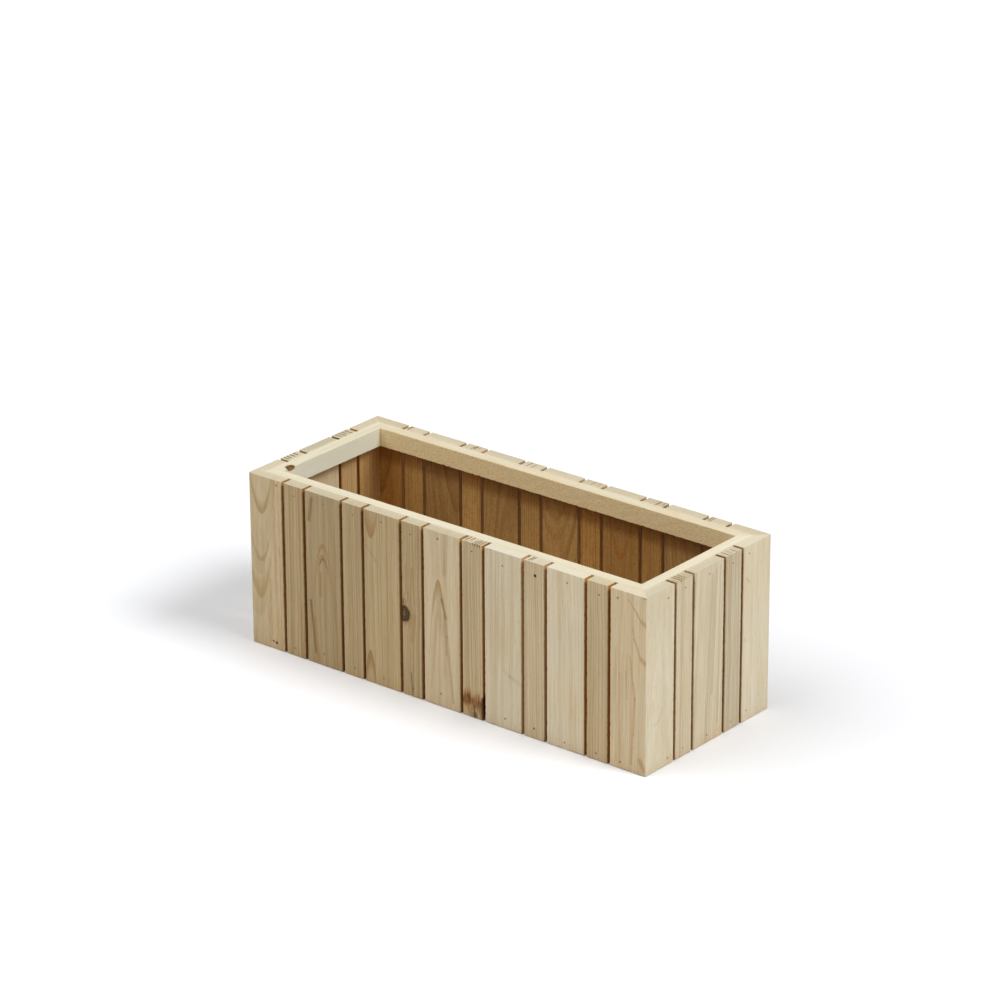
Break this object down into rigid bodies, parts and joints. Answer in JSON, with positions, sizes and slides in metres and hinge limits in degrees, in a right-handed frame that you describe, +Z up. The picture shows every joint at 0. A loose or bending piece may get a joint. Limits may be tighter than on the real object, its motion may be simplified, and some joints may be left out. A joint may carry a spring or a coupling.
{
  "type": "wooden planter",
  "caption": "Rectangular wooden planter box of upright slats nailed round mitred rails, with mitred corners and a slatted floor.",
  "frame": {"origin": "middle of the footprint, on the ground under the wall boards", "axes": "+X to the right end along the length, +Y to the back, +Z up to the rim"},
  "size_m": [0.6, 0.236, 0.222],
  "materials": {
    "wall_pine": "planed, unfinished",
    "rail_pine": "planed, unfinished",
    "floor_pine": "rough sawn, unfinished",
    "brad_steel": "dull bright wire"
  },
  "bodies": {
    "root": {"front_slat_01": "wall_pine", "front_slat_02": "wall_pine", "front_slat_03": "wall_pine", "front_slat_04": "wall_pine", "front_slat_05": "wall_pine", "front_slat_06": "wall_pine", "front_slat_07": "wall_pine", "front_slat_08": "wall_pine", "front_slat_09": "wall_pine", "front_slat_10": "wall_pine", "front_slat_11": "wall_pine", "front_slat_12": "wall_pine", "front_slat_13": "wall_pine", "right_slat_01": "wall_pine", "right_slat_02": "wall_pine", "right_slat_03": "wall_pine", "right_slat_04": "wall_pine", "right_slat_05": "wall_pine", "back_slat_01": "wall_pine", "back_slat_02": "wall_pine", "back_slat_03": "wall_pine", "back_slat_04": "wall_pine", "back_slat_05": "wall_pine", "back_slat_06": "wall_pine", "back_slat_07": "wall_pine", "back_slat_08": "wall_pine", "back_slat_09": "wall_pine", "back_slat_10": "wall_pine", "back_slat_11": "wall_pine", "back_slat_12": "wall_pine", "back_slat_13": "wall_pine", "left_slat_01": "wall_pine", "left_slat_02": "wall_pine", "left_slat_03": "wall_pine", "left_slat_04": "wall_pine", "left_slat_05": "wall_pine", "bottom_rail_front": "rail_pine", "bottom_rail_right": "rail_pine", "bottom_rail_back": "rail_pine", "bottom_rail_left": "rail_pine", "top_rail_front": "rail_pine", "top_rail_right": "rail_pine", "top_rail_back": "rail_pine", "top_rail_left": "rail_pine", "floor_board_01": "floor_pine", "floor_board_02": "floor_pine", "floor_board_03": "floor_pine", "floor_board_04": "floor_pine", "floor_board_05": "floor_pine", "floor_board_06": "floor_pine", "floor_board_07": "floor_pine", "floor_board_08": "floor_pine", "floor_board_09": "floor_pine", "wall_brads": "brad_steel", "frame_brads": "brad_steel", "floor_brads": "brad_steel"}
  },
  "joints": []
}
